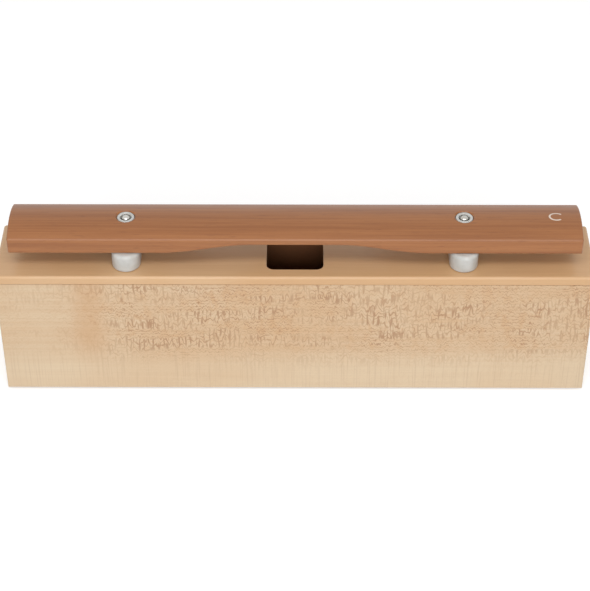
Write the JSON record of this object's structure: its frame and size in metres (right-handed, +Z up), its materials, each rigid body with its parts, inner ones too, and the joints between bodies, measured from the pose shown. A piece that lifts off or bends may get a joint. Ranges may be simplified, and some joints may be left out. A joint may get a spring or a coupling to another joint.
{
  "type": "resonator bar",
  "caption": "Crowned, undercut hardwood tone bar on soft saddles and guide pins over a wooden box resonator with a sound hole; the bar lifts off.",
  "frame": {"origin": "under the middle of the box, on the surface that the feet stand on", "axes": "+X along the bar to the right as seen from the front, the front looks towards -Y, +Z up"},
  "size_m": [0.4, 0.058, 0.1299],
  "materials": {
    "box_wood": "satin lacquer on pale quarter-sawn hardwood with ray fleck",
    "bar_wood": "satin lacquer on reddish-brown straight-grained hardwood",
    "silicone": "smooth milky white silicone",
    "pin_metal": "bright nickel plate",
    "foot_rubber": "matt dark rubber"
  },
  "bodies": {
    "box": {"top_panel": "box_wood", "bottom_panel": "box_wood", "front_panel": "box_wood", "rear_panel": "box_wood", "left_end_panel": "box_wood", "right_end_panel": "box_wood", "left_pin_block": "box_wood", "right_pin_block": "box_wood", "left_saddle": "silicone", "right_saddle": "silicone", "left_guide_pin": "pin_metal", "right_guide_pin": "pin_metal", "front_left_foot": "foot_rubber", "front_right_foot": "foot_rubber", "rear_left_foot": "foot_rubber", "rear_right_foot": "foot_rubber"},
    "bar": {"tone_bar": "bar_wood", "left_bush": "silicone", "right_bush": "silicone"}
  },
  "joints": [
    {"name": "bar_lift", "type": "slide", "parent": "box", "child": "bar", "axis": [0, 0, 1], "range_m": [0, 0.03]}
  ]
}
